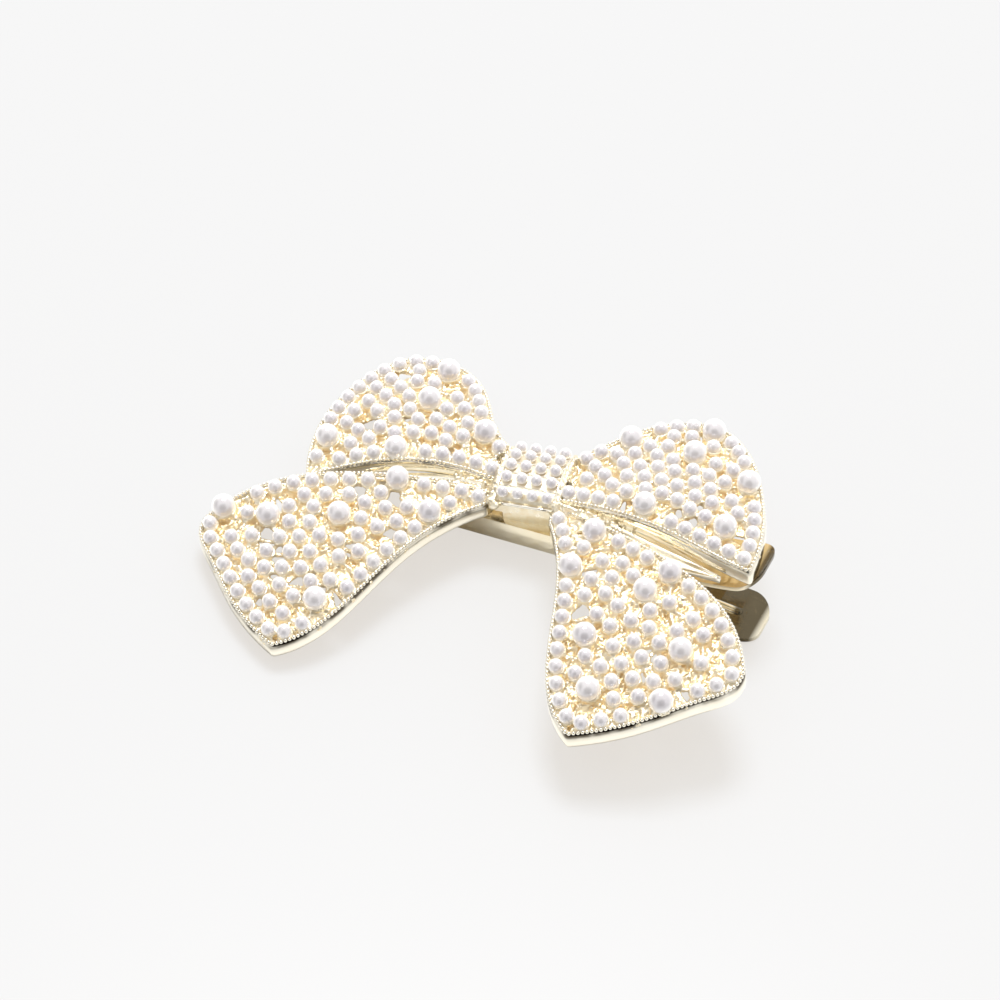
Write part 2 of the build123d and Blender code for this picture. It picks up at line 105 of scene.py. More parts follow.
PAINTED_SHADE_FADE = 0.9         # depth over which the gold turns to its deepest colour, the painted shade of the field's hollows

# ribbons folded under the loops, from the knot outwards
RIBBON_UNDER_LOOP = {
    "right": [(4.6, -1.3, 4.6), (14.0, -1.2, 4.4), (25.0, -2.4, 3.8), (37.0, -5.9, 3.0)],
    "left": [(-4.6, -0.9, 4.4), (-12.0, -1.0, 4.4), (-20.0, -2.4, 4.2), (-29.0, -6.4, 3.6)],
}
RIBBON_ALONG_TAIL = {
    "right": [(4.6, -3.1, 4.2), (14.0, -4.3, 4.3), (25.0, -6.6, 3.4), (37.0, -6.4, 2.9)],
    "left": [(-5.0, -2.7, 3.6), (-12.0, -4.0, 4.3), (-20.0, -6.2, 4.2), (-29.0, -7.4, 3.5)],
}
RIBBON_CROWN = 1.3
RIBBON_TAPER = 0.55       # share of the crown that is lost towards the ribbon's end
RIBBON_CREASE = 0.32
RIBBON_CREASES = 2.2      # creases across the ribbon
RIBBON_DRIFT = 0.35       # how far they drift across it on their way out
RIBBON_SHEET = 0.5
RIBBON_STATIONS = 40
RIBBON_POINTS = 19

# nuggets beside the knot
NECK_REACH = {"left": 0.42, "right": 0.55}    # share of the ribbon that is strewn with them
NECK_GRAINS = 150
NECK_GRAIN_R = (0.22, 0.55)
COLLAR_STATIONS = 60      # round each end of the knot
COLLAR_GRAINS = 2         # at each station
COLLAR_WIDTH = 0.9
COLLAR_GRAIN_R = (0.3, 0.55)
SOLDER_GRAINS = 14        # lump at the knot's left front corner
SOLDER_GRAIN_R = (0.45, 0.8)

# knot
KNOT_TURN = math.radians(8.5)
KNOT_PEARL_ROWS = 5
KNOT_MARGIN = 0.15        # metal beside the end pearls of a row
PEARL_FOOT = 0.7          # a pearl's centre above the band, in pearl radii
RIDGE_R = 0.2
END_BEAD_R = 0.3
END_BEAD_STATIONS = 40
LIP_R = 0.34
ALONG_ROW = (-1, -0.5, 0, 0.5, 1)

# clip
EDGE_ROUND = 0.22         # rounding of its cut edges
FLAT_ANGLE = math.radians(0.6)
CUT_ANGLE = math.radians(32)
SHADED_ANGLE = math.radians(40)

# colours; a pair is blended in soft patches
CAST_GOLD = ((0.93, 0.85, 0.67), (0.90, 0.755, 0.50))
# deep amber, painted shade for the hollows of the cast field
RECESS_SHADE_GOLD = (0.85, 0.64, 0.33)
POLISHED_GOLD = ((0.95, 0.875, 0.71), (0.97, 0.91, 0.77))
# painted dark reflection on the rims' grooved shoulders
RIM_DARK_REFLECTION = (0.08, 0.065, 0.045)
PLATED_STEEL = ((0.91, 0.83, 0.64), (0.86, 0.75, 0.52))
# painted dark reflection on the thumb pads
PAD_DARK_REFLECTION = (0.095, 0.074, 0.042)
BRIGHT_STEEL = ((0.74, 0.73, 0.71), (0.60, 0.59, 0.57))
PEARL_BODY = ((0.60, 0.56, 0.58), (0.69, 0.65, 0.65))
# painted sheen: lighter pearl colour towards the rim of each pearl's outline
PEARL_PAINTED_SHEEN = (0.99, 0.965, 0.93)
# painted glow, strongest towards each pearl's rim
PEARL_PAINTED_GLOW = (1.0, 0.93, 0.84)
FLOOR_PAINT = ((0.79, 0.79, 0.78), (0.81, 0.81, 0.80))
FLOOR_GLOW = (0.948, 0.891, 0.821)
FLOOR_COOL = (0.50, 0.58, 0.68)     # with the warm glow it makes neutral light and warm shadows
ROOM_LIGHT = (0.985, 0.99, 1.0)

# where the levers get a painted dark reflection, in metres along the clip; the rib (along, beside) is left out of
# it and keeps its highlight
UPPER_DARK_REFLECTION = (0.0415, 0.0600)
LOWER_DARK_REFLECTION = (0.0275, 0.0420)
BRIGHT_RIB = ((0.0290, 0.0372), (0.0091, 0.0105))

# camera and light; angles in degrees, the floor and the softbox in metres
CAMERA_AZIMUTH = 23.8
CAMERA_ELEVATION = 47.9
CAMERA_ROLL = 2.5
CAMERA_DISTANCE = 600.0
CAMERA_LENS = 129.4
AIM_AT = Vector((0.0, 0.0, 7.6))   # top of the knot
AIM_SHIFT = (5.0, 3.56)            # how far right and up of the picture's middle that is
VIEW_GAMMA = 1.18
WORLD_LIGHT = 1.05
# darker stretches of the room: (azimuth, elevation), half width, light
DARK_PATCHES = [((CAMERA_AZIMUTH, 28.0), 42.0, 0.04), ((-75.0, 12.0), 34.0, 0.08)]
PATCH_CORE = 0.55                  # share of a patch's width that is fully dark
FLOOR_HALF_SIZE = 3.0
FLOOR_LIFT = 0.70                  # how much of the floor's look doesn't take shadows
SOFTBOX_AT = (-0.14, 0.32, 1.05)
SOFTBOX_SIZE = (0.42, 0.34)
SOFTBOX_POWER = 10.0

hinge = frame["joints"][0]
back_plate = next(m for m in frame["record"]["mounts"] if m["name"] == "lower_jaw_back")
tilt = math.atan2(back_plate["axis"][0], -back_plate["axis"][2])
BOW_TO_ROW = (Matrix.Translation(hinge["pos_m"]) @ Matrix.Rotation(-tilt, 4, "Y")
              @ Matrix.Scale(MM, 4) @ Matrix.Translation(-PIN_IN_BOW))


# ---------------------------------------------------------------- reading the frame
def node_shape(node):
    """A CAD node's corners in the bow's frame, merged where they coincide, and its triangles."""
    mesh = frame["nodes"][node].data
    corners = np.zeros(len(mesh.vertices) * 3, np.float32)
    mesh.vertices.foreach_get("co", corners)
    to_bow = np.array(BOW_TO_ROW.inverted())
    points = corners.reshape(-1, 3).astype(float) @ to_bow[:3, :3].T + to_bow[:3, 3]
    triangles = np.zeros(len(mesh.loops), np.int32)
    mesh.loops.foreach_get("vertex_index", triangles)
    merged, index = np.unique(points.round(3), axis=0, return_inverse=True)
    return merged, index.ravel()[triangles].reshape(-1, 3)


def pearls_of(node):
    """(centre, radius) of each separate pearl of a CAD node."""
    points, triangles = node_shape(node)
    label = np.arange(len(points))
    settled = False
    while not settled:
        lowest = label[triangles].min(1)
        new = label.copy()
        for corner in range(3):
            np.minimum.at(new, triangles[:, corner], lowest)
        new = new[new]
        settled = (new == label).all()
        label = new
    pearls = []
    for one in np.unique(label[triangles]):
        own = points[label == one]
        low, high = own.min(0), own.max(0)
        pearls.append((Vector((low + high) / 2), float((high - low).max() / 2)))
    return pearls


def rim_edges(node):
    """Edges of a lobe where an upright wall meets the domed rim, as pairs of points."""
    points, triangles = node_shape(node)
    a, b, c = (points[triangles[:, k]] for k in range(3))
    normals = np.cross(b - a, c - a)
    up = normals[:, 2] / np.maximum(np.linalg.norm(normals, axis=1), 1e-9)
    kinds = {}
    for (i, j, k), slope in zip(triangles.tolist(), up):
        kind = "wall" if abs(slope) < UPRIGHT else "dome" if DOMED[0] < slope < DOMED[1] else "other"
        for edge in ((i, j), (j, k), (k, i)):
            kinds.setdefault(frozenset(edge), set()).add(kind)
    found = [sorted(edge) for edge, beside in kinds.items() if {"wall", "dome"} <= beside and len(edge) == 2]
    return points[np.array(sorted(found))]


def outer_rim(node):
    """The outermost of those edges, all the way round the lobe."""
    edges = rim_edges(node)
    spots = edges.reshape(-1, 3)
    middle = (spots.min(0) + spots.max(0)) / 2
    start = edges[:, 0] - middle
    run = edges[:, 1] - edges[:, 0]
    rim = []
    for k in range(RIM_RAYS):
        turn = 2 * math.pi * k / RIM_RAYS
        out = (math.cos(turn), math.sin(turn))
        side = start[:, 0] * out[1] - start[:, 1] * out[0]
        slant = run[:, 0] * out[1] - run[:, 1] * out[0]
        share = -side / np.where(np.abs(slant) < 1e-9, 1e9, slant)
        hits = start + run * share[:, None]
        reach = hits[:, 0] * out[0] + hits[:, 1] * out[1]
        valid = (share >= -0.001) & (share <= 1.001) & (reach > 0) & (np.abs(slant) >= 1e-9)
        if valid.any():
            rim.append(middle + hits[np.where(valid)[0][reach[valid].argmax()]])
    rim = np.array(rim)
    smooth = sum(np.roll(rim, k, 0) for k in (-6, -3, 3, 6)) / 4
    # where a ray slipped between two edges, it found the wall's inner edge
    return rim[np.linalg.norm(rim - smooth, axis=1) < WALL * 0.7]


def evenly(points, step, closed=True):
    """The same path with samples at an even distance."""
    run = np.vstack([points, points[:1]]) if closed else points
    along = np.concatenate([[0], np.cumsum(np.linalg.norm(np.diff(run, axis=0), axis=1))])
    count = max(3, round(along[-1] / step))
    at = np.linspace(0, along[-1], count, endpoint=not closed)
    return np.stack([np.interp(at, along, run[:, k]) for k in range(3)], 1)


def fit_dome(points):
    """Centre and radius of the sphere that most of the rim lies on."""
    kept = points
    for _ in range(4):
        middle = kept.mean(0)
        shifted = kept - middle
        rows = np.hstack([2 * shifted, np.ones((len(kept), 1))])
        answer = np.linalg.lstsq(rows, (shifted ** 2).sum(1), rcond=None)[0]
        radius = math.sqrt(answer[3] + (answer[:3] ** 2).sum())
        centre = answer[:3] + middle
        miss = np.abs(np.linalg.norm(points - centre, axis=1) - radius)
        kept = points[miss <= np.quantile(miss, 0.75)]
    return Vector(centre), radius


class Lobe:
    """Outline, dome and pearls of one lobe, read from its CAD nodes."""

    def __init__(self, name):
        self.name = name
        rough = outer_rim(name)
        self.centre, self.radius = fit_dome(rough)
        rim = evenly(rough, RIM_STEP)
        x, y = rim[:, 0], rim[:, 1]
        if (x * np.roll(y, -1) - np.roll(x, -1) * y).sum() < 0:
            rim = rim[::-1]
        for _ in range(2):
            rim = (np.roll(rim, 1, 0) + 2 * rim + np.roll(rim, -1, 0)) / 4
        self.rim = rim
        self.small = pearls_of(name + "_small_pearls")
        self.large = pearls_of(name + "_large_pearls")

    def on_dome(self, x, y, drop=0.0):
        """The point above (x, y) on the dome lowered by drop, along the dome's radius."""
        radius = self.radius - drop
        rise = math.sqrt(radius ** 2 - (x - self.centre.x) ** 2 - (y - self.centre.y) ** 2)
        return Vector((x, y, self.centre.z + rise))

    def outward(self, point):
        """Direction away from the dome's centre."""
        return (point - self.centre).normalized()

    def inset(self, depth):
        """The outline moved inwards, with its corners kept free of crossings."""
        plan = self.rim[:, :2]
        tangent = np.roll(plan, -1, 0) - np.roll(plan, 1, 0)
        tangent /= np.linalg.norm(tangent, axis=1)[:, None]
        inward = np.stack([-tangent[:, 1], tangent[:, 0]], 1)
        moved = plan + inward * depth
        if depth <= 0:
            return moved
        gaps = np.linalg.norm(moved[:, None] - plan[None], axis=2).min(1)
        good = gaps > depth * 0.93
        at = np.arange(len(plan))
        for k in range(2):
            moved[:, k] = np.interp(at, at[good], moved[good, k], period=len(plan))
        return moved

    def contains(self, x, y):
        """Whether (x, y) lies within the outline."""
        ax, ay = self.rim[:, 0], self.rim[:, 1]
        bx, by = np.roll(ax, -1), np.roll(ay, -1)
        crosses = (ay > y) != (by > y)
        level = np.where(by == ay, 1.0, by - ay)
        return int((crosses & (x < ax + (y - ay) * (bx - ax) / level)).sum()) % 2 == 1


# ---------------------------------------------------------------- mesh building
class Shape:
    """Points and faces of one piece, collected in the bow's frame."""

    def __init__(self):
        self.points = []
        self.faces = []

    def add(self, points, faces):
        base = len(self.points)
        self.points.extend(tuple(p) for p in points)
        self.faces.extend([base + i for i in face] for face in faces)

    def loft(self, rings, closed_path=False):
        """Skin over rings of equal length; an open loft gets end caps."""
        count = len(rings[0])
        points = [p for ring in rings for p in ring]
        faces = []
        last = len(rings) if closed_path else len(rings) - 1
        for i in range(last):
            here, there = i * count, (i + 1) % len(rings) * count
            for k in range(count):
                n = (k + 1) % count
                faces.append((here + k, here + n, there + n, there + k))
        if not closed_path:
            faces.append(tuple(reversed(range(count))))
            faces.append(tuple(range(len(points) - count, len(points))))
        self.add(points, faces)

    def ball(self, centre, radius, sides=8, rings=5, flat=1.0, up=Vector((0, 0, 1))):
        """Ball, flattened along up."""
        across, over = square_to(up)
        points = [centre + up * radius * flat]
        for i in range(1, rings):
            polar = math.pi * i / rings
            for k in range(sides):
                turn = 2 * math.pi * k / sides
                out = across * math.cos(turn) + over * math.sin(turn)
                points.append(centre + out * radius * math.sin(polar) + up * radius * flat * math.cos(polar))
        points.append(centre - up * radius * flat)
        faces = [(0, 1 + k, 1 + (k + 1) % sides) for k in range(sides)]
        for i in range(rings - 2):
            a, b = 1 + i * sides, 1 + (i + 1) * sides
            for k in range(sides):
                n = (k + 1) % sides
                faces.append((a + k, b + k, b + n, a + n))
        end = len(points) - 1
        a = end - sides
        faces += [(end, a + (k + 1) % sides, a + k) for k in range(sides)]
        self.add(points, faces)

    def ring(self, centre, up, major, minor, sides=24, section=8):
        """Closed round ring lying square to up."""
        across, over = square_to(up)
        rings = []
        for i in range(sides):
            turn = 2 * math.pi * i / sides
            out = across * math.cos(turn) + over * math.sin(turn)
            rings.append([centre + out * (major + minor * math.cos(t)) + up * minor * math.sin(t)
                          for t in (2 * math.pi * k / section for k in range(section))])
        self.loft(rings, closed_path=True)

    def bar(self, path, radii, up, flat=0.85, sides=8):
        """Round bar through points, a little flattened along up."""
        rings = []
        for i, (point, radius) in enumerate(zip(path, radii)):
            ahead = path[min(i + 1, len(path) - 1)] - path[max(i - 1, 0)]
            side = ahead.cross(up).normalized()
            lift = side.cross(ahead).normalized()
            rings.append([point + side * radius * math.cos(t) + lift * radius * flat * math.sin(t)
                          for t in (2 * math.pi * k / sides for k in range(sides))])
        self.loft(rings)

    def slab(self, corners, up, thickness):
        """Flat triangle of even thickness."""
        below = [c - up * thickness for c in corners]
        self.add(list(corners) + below, [(0, 1, 2), (5, 4, 3), (0, 3, 4, 1), (1, 4, 5, 2), (2, 5, 3, 0)])

    def to_object(self, name):
        mesh = bpy.data.meshes.new(name)
        mesh.from_pydata(self.points, [], self.faces)
        mesh.validate()
        made = bpy.data.objects.new(name, mesh)
        bpy.context.scene.collection.objects.link(made)
        return made


def square_to(up):
    """Two directions square to up and to each other."""
    helper = Vector((1, 0, 0)) if abs(up.x) < 0.8 else Vector((0, 1, 0))
    across = up.cross(helper).normalized()
    return across, up.cross(across).normalized()


def apply_modifiers(made):
    """Bake the object's modifiers into its mesh."""
    graph = bpy.context.evaluated_depsgraph_get()
    baked = bpy.data.meshes.new_from_object(made.evaluated_get(graph))
    made.modifiers.clear()
    made.data = baked


def outward_faces(made):
    """Make every closed part's faces look outwards."""
    work = bmesh.new()
    work.from_mesh(made.data)
    bmesh.ops.recalc_face_normals(work, faces=work.faces)
    work.to_mesh(made.data)
    work.free()


def store_painted_shade(made, shades):
    """Keep how much painted shade each point gets, for the materials: how deep it lies in the hollows, or on a rim
    its share of painted dark reflection.
    """
    mark = made.data.attributes.new("painted_shade_amount", "FLOAT", "POINT")
    mark.data.foreach_set("value", np.asarray(shades, np.float32))


def place_in_row(made, material, body="upper_half"):
    """Move a piece from the bow's frame into the row's, and give it looks and body."""
    made.data.transform(BOW_TO_ROW)
    made.data.materials.clear()
    made.data.materials.append(material)
    made.data.polygons.foreach_set("use_smooth", [True] * len(made.data.polygons))
    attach(made, body)
    return made


# ---------------------------------------------------------------- node materials
def new_material(name):
    material = bpy.data.materials.new(name)
    material.use_nodes = True
    return material, material.node_tree, material.node_tree.nodes["Principled BSDF"]


def add_noise(tree, scale, detail=4.0, rough=0.55):
    """Noise in object space; scale is the number of features per metre."""
    place = tree.nodes.new("ShaderNodeTexCoord")
    grain = tree.nodes.new("ShaderNodeTexNoise")
    grain.inputs["Scale"].default_value = scale
    grain.inputs["Detail"].default_value = detail
    grain.inputs["Roughness"].default_value = rough
    tree.links.new(place.outputs["Object"], grain.inputs["Vector"])
    return grain


def remap(tree, value, low, high, from_low=0.3, from_high=0.7):
    """Scale a value into a range."""
    node = tree.nodes.new("ShaderNodeMapRange")
    node.inputs["From Min"].default_value = from_low
    node.inputs["From Max"].default_value = from_high
    node.inputs["To Min"].default_value = low
    node.inputs["To Max"].default_value = high
    tree.links.new(value, node.inputs["Value"])
    return node.outputs["Result"]


def blend_colours(tree, share, first, second):
    """Mix of two colours; either is a plain colour or another node's output."""
    node = tree.nodes.new("ShaderNodeMix")
    node.data_type = "RGBA"
    for socket, colour in (("A", first), ("B", second)):
        if isinstance(colour, tuple):
            node.inputs[socket].default_value = (*colour, 1)
        else:
            tree.links.new(colour, node.inputs[socket])
    tree.links.new(share, node.inputs["Factor"])
    return node.outputs["Result"]


def read_painted_shade(tree):
    """How much painted shade the surface gets, as kept with the mesh."""
    node = tree.nodes.new("ShaderNodeAttribute")
    node.attribute_name = "painted_shade_amount"
    return node.outputs["Fac"]


def add_bump(tree, shader, height, distance, strength=1.0, below=None):
    """Fine relief, distance metres deep, laid over the relief below it."""
    node = tree.nodes.new("ShaderNodeBump")
    node.inputs["Strength"].default_value = strength
    node.inputs["Distance"].default_value = distance
    tree.links.new(height, node.inputs["Height"])
    if below is not None:
        tree.links.new(below, node.inputs["Normal"])
    tree.links.new(node.outputs["Normal"], shader.inputs["Normal"])
    return node.outputs["Normal"]


def cast_gold():
    """Pale plating over a rough casting, with painted shade making it warmer and duller in the hollows."""
    material, tree, shader = new_material("cast_gold")
    shader.inputs["Metallic"].default_value = 1.0
    patches = add_noise(tree, 900.0)
    tone = blend_colours(tree, remap(tree, patches.outputs["Fac"], 0.0, 1.0), *CAST_GOLD)
    # painted shade: deep amber in the hollows, as light bounced between gold walls would give
    tree.links.new(blend_colours(tree, read_painted_shade(tree), tone, RECESS_SHADE_GOLD), shader.inputs["Base Color"])
    tree.links.new(remap(tree, patches.outputs["Fac"], 0.26, 0.42), shader.inputs["Roughness"])
    grain = add_noise(tree, 2600.0, 3.0)
    add_bump(tree, shader, grain.outputs["Fac"], 0.00012, 0.5)
    return material


def polished_gold():
    """Pale polished plating with faint polishing marks, and a painted dark reflection in patches where the mesh's
    stored share asks for it.
    """
    material, tree, shader = new_material("polished_gold")
    shader.inputs["Metallic"].default_value = 1.0
    patches = add_noise(tree, 260.0, 3.0)
    colour = blend_colours(tree, remap(tree, patches.outputs["Fac"], 0.0, 1.0), *POLISHED_GOLD)
    cloudy = add_noise(tree, 190.0, 2.0)
    # painted reflection: the stored share, broken into patches by noise, darkens the gold
    painted_reflection = times(tree, read_painted_shade(tree), remap(tree, cloudy.outputs["Fac"], 0.35, 1.0, 0.40, 0.56))
    tree.links.new(blend_colours(tree, painted_reflection, colour, RIM_DARK_REFLECTION), shader.inputs["Base Color"])
    marks = add_noise(tree, 1400.0, 4.0)
    tree.links.new(remap(tree, marks.outputs["Fac"], 0.07, 0.17), shader.inputs["Roughness"])
    swell = add_noise(tree, 420.0, 2.0)
    add_bump(tree, shader, swell.outputs["Fac"], 0.00010, 0.5)
    return material


def between(tree, axis, low, high, soft):
    """1 between two places along an axis (metres), fading to 0 over soft."""
    place = tree.nodes.new("ShaderNodeTexCoord")
    split = tree.nodes.new("ShaderNodeSeparateXYZ")
    tree.links.new(place.outputs["Object"], split.inputs[0])
    rising = remap(tree, split.outputs[axis], 0.0, 1.0, low - soft, low)
    falling = remap(tree, split.outputs[axis], 1.0, 0.0, high, high + soft)
    return times(tree, rising, falling)


def times(tree, first, second):
    """Product of two values."""
    product = tree.nodes.new("ShaderNodeMath")
    product.operation = "MULTIPLY"
    tree.links.new(first, product.inputs[0])
    tree.links.new(second, product.inputs[1])
    return product.outputs[0]


def clip_steel(name, dark_reflection_span, bright_rib=None):
    """Gold-plated sheet steel: brushed along the clip, with tiny pits and a painted dark reflection on a stretch
    of its pad.
    """
    material, tree, shader = new_material(name)
    shader.inputs["Metallic"].default_value = 1.0
    place = tree.nodes.new("ShaderNodeTexCoord")
    stretch = tree.nodes.new("ShaderNodeMapping")
    stretch.inputs["Scale"].default_value = (60.0, 3200.0, 3200.0)
    streaks = tree.nodes.new("ShaderNodeTexNoise")
    streaks.inputs["Scale"].default_value = 1.0
    streaks.inputs["Detail"].default_value = 3.0
    tree.links.new(place.outputs["Object"], stretch.inputs["Vector"])
    tree.links.new(stretch.outputs["Vector"], streaks.inputs["Vector"])
    patches = add_noise(tree, 180.0)
    colour = blend_colours(tree, remap(tree, patches.outputs["Fac"], 0.0, 1.0), *PLATED_STEEL)
    # painted reflection: a stretch of the pad is darkened; the rib is left bright for its highlight
    dark = between(tree, "X", *dark_reflection_span, 0.0010)
    if bright_rib is not None:
        along, beside = bright_rib
        rib = times(tree, between(tree, "X", *along, 0.0008), between(tree, "Y", *beside, 0.0003))
        dark = times(tree, dark, remap(tree, rib, 1.0, 0.0, 0.0, 1.0))
    tree.links.new(blend_colours(tree, dark, colour, PAD_DARK_REFLECTION), shader.inputs["Base Color"])
    tree.links.new(remap(tree, streaks.outputs["Fac"], 0.10, 0.24), shader.inputs["Roughness"])
    pits = add_noise(tree, 1700.0, 2.0)
    shallow = add_bump(tree, shader, streaks.outputs["Fac"], 0.00002, 0.4)
    deep = remap(tree, pits.outputs["Fac"], 0.0, 1.0, 0.2, 0.36)
    add_bump(tree, shader, deep, 0.00004, 0.6, below=shallow)
    return material


def bright_wire():
    """Plain spring wire and rivet steel."""
    material, tree, shader = new_material("bright_wire")
    shader.inputs["Metallic"].default_value = 1.0
    marks = add_noise(tree, 900.0)
    colour = blend_colours(tree, remap(tree, marks.outputs["Fac"], 0.0, 1.0), *BRIGHT_STEEL)
    tree.links.new(colour, shader.inputs["Base Color"])
    tree.links.new(remap(tree, marks.outputs["Fac"], 0.14, 0.30), shader.inputs["Roughness"])
    return material


def pearl_coat():
    """Imitation pearl: a milky body under a clear nacre, each pearl a little different, with a painted sheen and a
    painted glow towards its rim.
    """
    material, tree, shader = new_material("pearl_coat")
    island = tree.nodes.new("ShaderNodeNewGeometry")
    body = blend_colours(tree, island.outputs["Random Per Island"], *PEARL_BODY)
    facing = tree.nodes.new("ShaderNodeLayerWeight")
    facing.inputs["Blend"].default_value = 0.4
    # painted sheen: the body turns lighter where the surface turns away from the eye
    edge = remap(tree, facing.outputs["Facing"], 0.0, 1.0, 0.15, 0.75)
    tree.links.new(blend_colours(tree, edge, body, PEARL_PAINTED_SHEEN), shader.inputs["Base Color"])
    # painted glow, brightest near the rim, standing for light coming through
    painted_glow = remap(tree, facing.outputs["Facing"], 0.02, 0.40, 0.15, 0.80)
    tree.links.new(painted_glow, shader.inputs["Emission Strength"])
    shader.inputs["Emission Color"].default_value = (*PEARL_PAINTED_GLOW, 1)
    shader.inputs["Metallic"].default_value = 0.22
    cloud = add_noise(tree, 1200.0, 3.0)
    tree.links.new(remap(tree, cloud.outputs["Fac"], 0.14, 0.20), shader.inputs["Roughness"])
    shader.inputs["Coat Weight"].default_value = 1.0
    shader.inputs["Coat Roughness"].default_value = 0.03
    shader.inputs["Coat IOR"].default_value = 1.7
    return material


# ---------------------------------------------------------------- castings
def wall_profile(depth):
    """(inset, drop, share of painted dark reflection) round the wall's section: grooved shoulder, full face, round
    foot.
    """
    shoulder = [(0.56, 0.0, 0.3), (0.42, 0.10, 0.7), (0.22, 0.20, 1.0), (0.10, 0.44, 1.0), (0.03, 0.66, 0.9)]
    face = [(-0.03, 1.0, 0.25), (-0.05, depth * 0.6, 0), (-0.02, depth - 0.6, 0), (0.03, depth - 0.25, 0)]
    foot = [(0.12, depth - 0.08, 0), (0.28, depth, 0), (WALL - 0.12, depth - 0.08, 0)]
    inside = [(WALL, depth - 0.3, 0), (WALL, depth / 2, 0), (WALL, 0.2, 0.3), (WALL - 0.06, 0.03, 0.3)]
    return shoulder + face + foot + inside


def rim_piece(lobe, material):
    """The polished wall round a lobe, with a row of beads along its top edge."""
    shape = Shape()
    lines, reflection_shares = [], []
    for inset, drop, dark in wall_profile(WALL_DEPTH[lobe.name]):
        lines.append([lobe.on_dome(x, y) - Vector((0, 0, drop)) for x, y in lobe.inset(inset)])
        reflection_shares.append(dark)
    count = len(lines[0])
    shape.loft([[line[i] for line in lines] for i in range(count)], closed_path=True)
    # painted dark reflection along the shoulder, stronger on some lobes than others; the beads get none
    shades = [dark * RIM_REFLECTION_STRENGTH[lobe.name] for dark in reflection_shares] * count
    ridge = np.array([lobe.on_dome(x, y) for x, y in lobe.inset(BEAD_INSET)])
    for spot in evenly(ridge, BEAD_PITCH):
        spot = Vector(spot)
        size = BEAD_R * random.uniform(*BEAD_SPREAD)
        shape.ball(spot + lobe.outward(spot) * BEAD_LIFT, size, sides=8, rings=6)
    shades += [0.0] * (len(shape.points) - len(shades))
    made = shape.to_object(lobe.name + "_rim")
    store_painted_shade(made, shades)
    outward_faces(made)
    return place_in_row(made, material)


def lattice_points(lobe):
    """Plan points that the lattice's bars join: pearls, then a row along the wall."""
    spots = [(c.x, c.y) for c, _ in lobe.small + lobe.large]
    wall_row = lobe.inset(WALL * 0.8)
    row = evenly(np.column_stack([wall_row, np.zeros(len(wall_row))]), WALL_ROW_PITCH)
    return spots, [(x, y) for x, y, _ in row]


def waver(point, size, reach):
    """Smooth offset of a point. random.seed doesn't cover it, so its pattern differs from run to run."""
    return noise.noise_vector(point / size) * reach


def random_offset(*ranges):
    """Random vector, each direction within its own range."""
    return Vector([random.uniform(low, high) for low, high in ranges])


def add_cups(shape, lobe):
    """A cup under every pearl: a ring round its foot over a shallow bowl."""
    for centre, radius in lobe.small + lobe.large:
        up = lobe.outward(centre)
        foot = lobe.centre + up * (lobe.radius - FIELD_DROP)
        cup = radius * CUP_SHARE + CUP_MARGIN
        shape.ring(foot + up * CUP_LIFT, up, cup, random.uniform(*CUP_WALL), sides=20)
        shape.ball(foot - up * CUP_SINK, cup, sides=14, rings=6, flat=CUP_FLATNESS, up=up)


def add_bars(shape, lobe, flat, triangles):
    """Bars along the sides of the triangles between the pearls."""
    edges = sorted({tuple(sorted((t[i], t[(i + 1) % 3]))) for t in triangles for i in range(3)})
    for a, b in edges:
        start, end = flat[a], flat[b]
        length = (end - start).length
        if length > BAR_REACH or not lobe.contains(*(start + end) / 2):
            continue
        if length > LONG_BAR and random.random() < LONG_BARS_MISSING:
            continue
        add_bar(shape, lobe, start, end, length)


def add_skins(shape, lobe, flat, triangles):
    """Thin skins with grains on them, which close some of the gaps."""
    for triangle in triangles:
        corners = [flat[i] for i in triangle]
        middle = sum(corners, Vector((0, 0))) / 3
        reach = max((corners[i] - corners[i - 1]).length for i in range(3))
        patch = noise.noise(Vector((middle.x, middle.y, 0)) / SKIN_PATCH) * 0.5 + 0.5
        closed = patch + random.uniform(-0.25, 0.25) < FILLED_SHARE
        over_pad = (middle - OVER_PAD).length < OVER_PAD_REACH
        if reach < BAR_REACH + 1 and lobe.contains(*middle) and (closed or over_pad):
            drop = FIELD_DROP + random.uniform(*SKIN_DROP)
            up = lobe.outward(lobe.on_dome(*middle))
            shape.slab([lobe.on_dome(*c, drop) for c in corners], up, SKIN_SHEET)
            for _ in range(GRAINS_PER_SKIN):
                shares = [random.random() for _ in corners]
                x, y = sum((c * share for c, share in zip(corners, shares)), Vector((0, 0))) / sum(shares)
                spot = lobe.on_dome(x, y, drop - random.uniform(0.0, 0.25))
                shape.ball(spot, random.uniform(*GRAIN_R), sides=6, rings=4)


def add_border(shape, lobe):
    """The bar that joins the field to the wall."""
    border = [lobe.on_dome(x, y, BORDER_DROP) for x, y in lobe.inset(BORDER_INSET)[::4]]
    for start, end in zip(border, border[1:] + border[:1]):
        if (end - start).length > 0.05:
            shape.bar([start, end], [BORDER_R, BORDER_R], Vector((0, 0, 1)))


